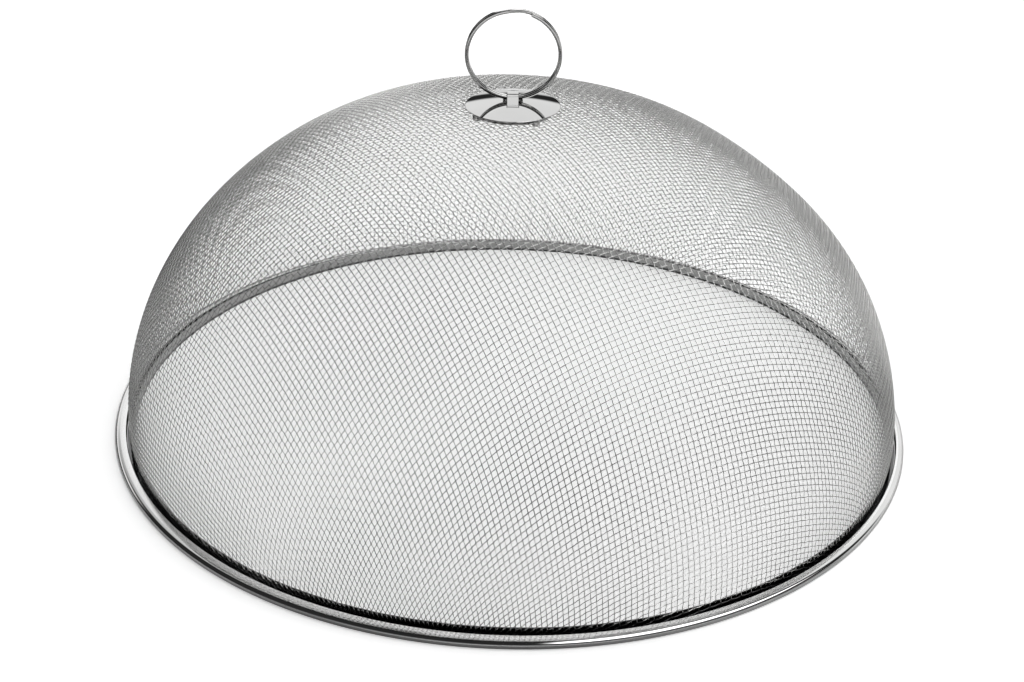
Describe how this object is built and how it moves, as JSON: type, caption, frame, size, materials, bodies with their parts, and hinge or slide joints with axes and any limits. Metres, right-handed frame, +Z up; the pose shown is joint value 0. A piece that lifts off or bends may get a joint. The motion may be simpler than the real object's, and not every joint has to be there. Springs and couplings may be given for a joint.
{
  "type": "mesh food cover",
  "caption": "Round stainless steel wire-mesh dome cover for food, with a rolled rim and a hinged split ring on a round cap to lift it by.",
  "frame": {"origin": "middle of the rim's underside, on the surface that the cover stands on", "axes": "+Z up along the dome's axis; -Y is the side nearest the camera in the picture; X runs along the ring's hinge"},
  "size_m": [0.3, 0.3, 0.16],
  "materials": {
    "woven_steel": "drawn stainless wire, plain woven, bright",
    "rim_steel": "polished stainless strip",
    "core_wire_steel": "drawn stainless wire",
    "hoop_steel": "plain rolled stainless strip",
    "cap_steel": "mirror-polished pressed stainless sheet",
    "disc_steel": "plain rolled stainless sheet",
    "ring_steel": "polished nickel-bright flat wire"
  },
  "bodies": {
    "cover": {"mesh_dome": "woven_steel", "rim_band": "rim_steel", "rim_core_wire": "core_wire_steel", "inner_hoop": "hoop_steel", "cap": "cap_steel", "backing_disc": "disc_steel"},
    "ring": {"lift_ring": "ring_steel"}
  },
  "joints": [
    {"name": "ring_hinge", "type": "hinge", "parent": "cover", "child": "ring", "pos_m": [0, 0, 0.12686], "axis": [1, 0, 0], "range_deg": [-96, 84]}
  ]
}
